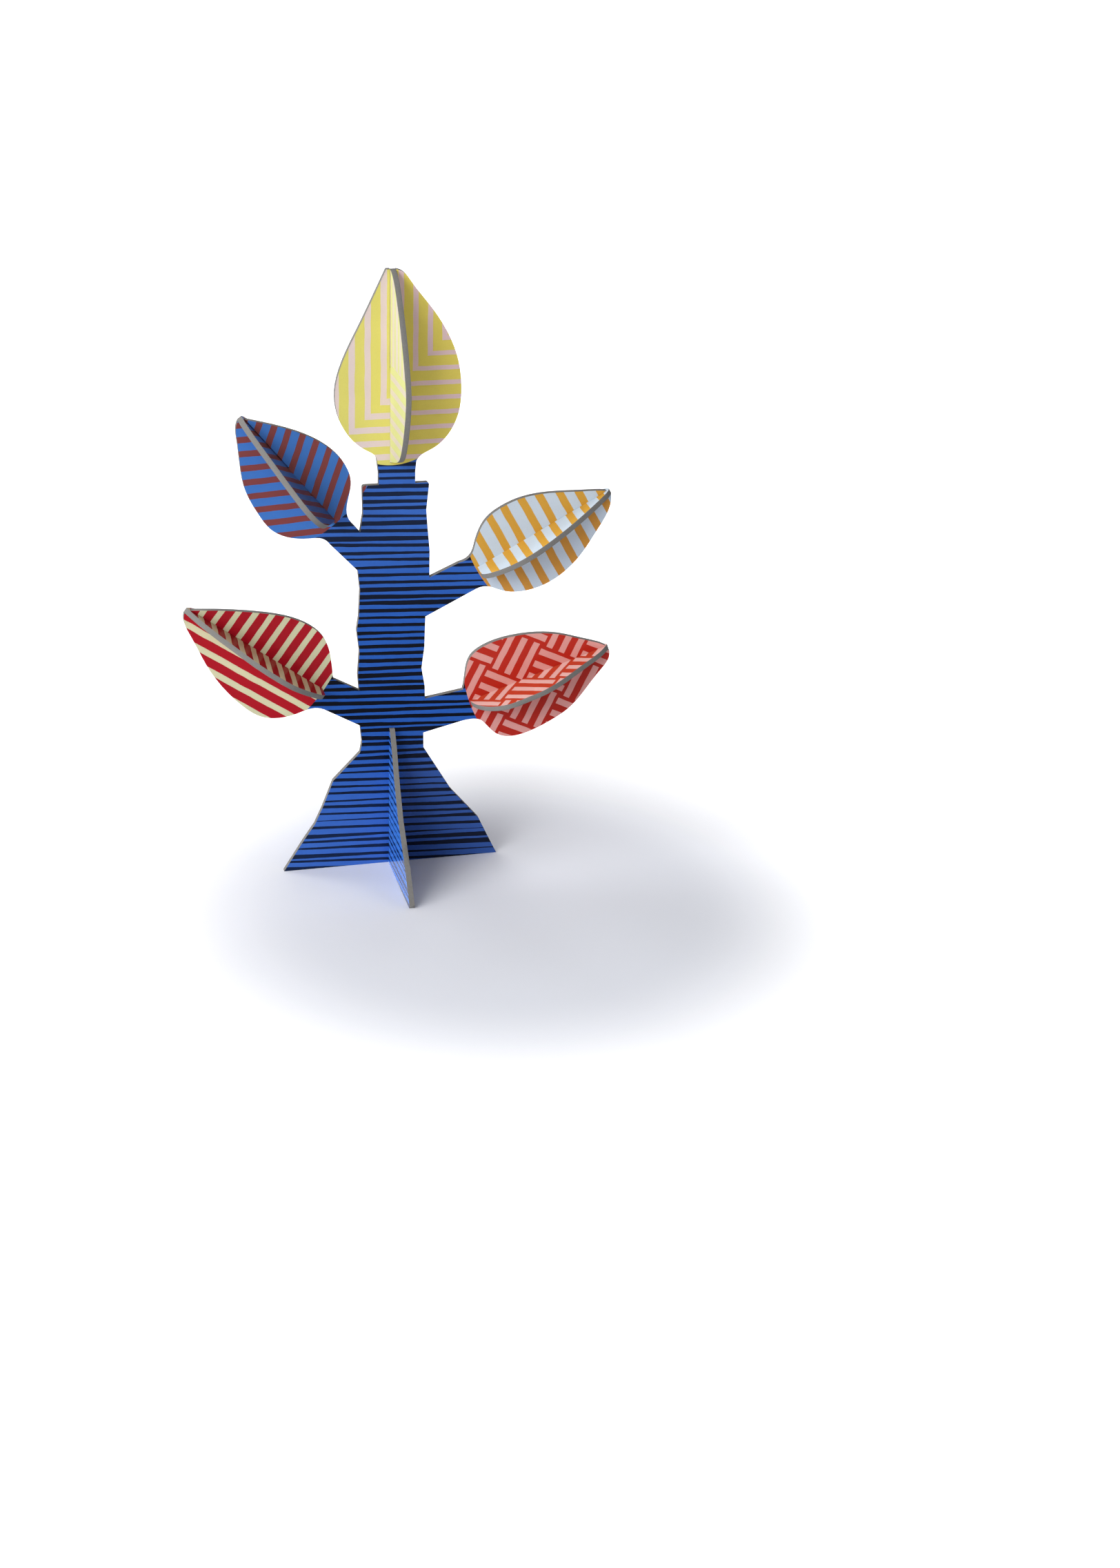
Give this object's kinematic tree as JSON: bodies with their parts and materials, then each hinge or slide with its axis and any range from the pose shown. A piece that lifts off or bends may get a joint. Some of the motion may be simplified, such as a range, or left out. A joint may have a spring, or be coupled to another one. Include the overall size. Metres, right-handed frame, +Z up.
{
  "type": "paper tree sculpture",
  "caption": "Standing flat-pack tree of printed board: a cut-out trunk with leaves, crossed by leaf-shaped boards and a foot that slot into it.",
  "frame": {"origin": "on the ground, where the large panel and the cross foot cross each other", "axes": "+Z up along the trunk, +X along the large panel towards its right-hand branches, -Y out of its front face"},
  "size_m": [0.1268, 0.0636, 0.1826],
  "materials": {
    "panel_print": "satin",
    "trunk_print": "satin",
    "red_cream_print": "satin",
    "blue_brown_print": "satin",
    "orange_grey_print": "satin",
    "red_pink_print": "satin",
    "yellow_pink_print": "satin"
  },
  "bodies": {
    "root": {"tree_panel": "panel_print", "cross_foot": "trunk_print", "lower_left_cross_leaf": "red_cream_print", "upper_left_cross_leaf": "blue_brown_print", "upper_right_cross_leaf": "orange_grey_print", "lower_right_cross_leaf": "red_pink_print", "top_cross_leaf": "yellow_pink_print"}
  },
  "joints": []
}
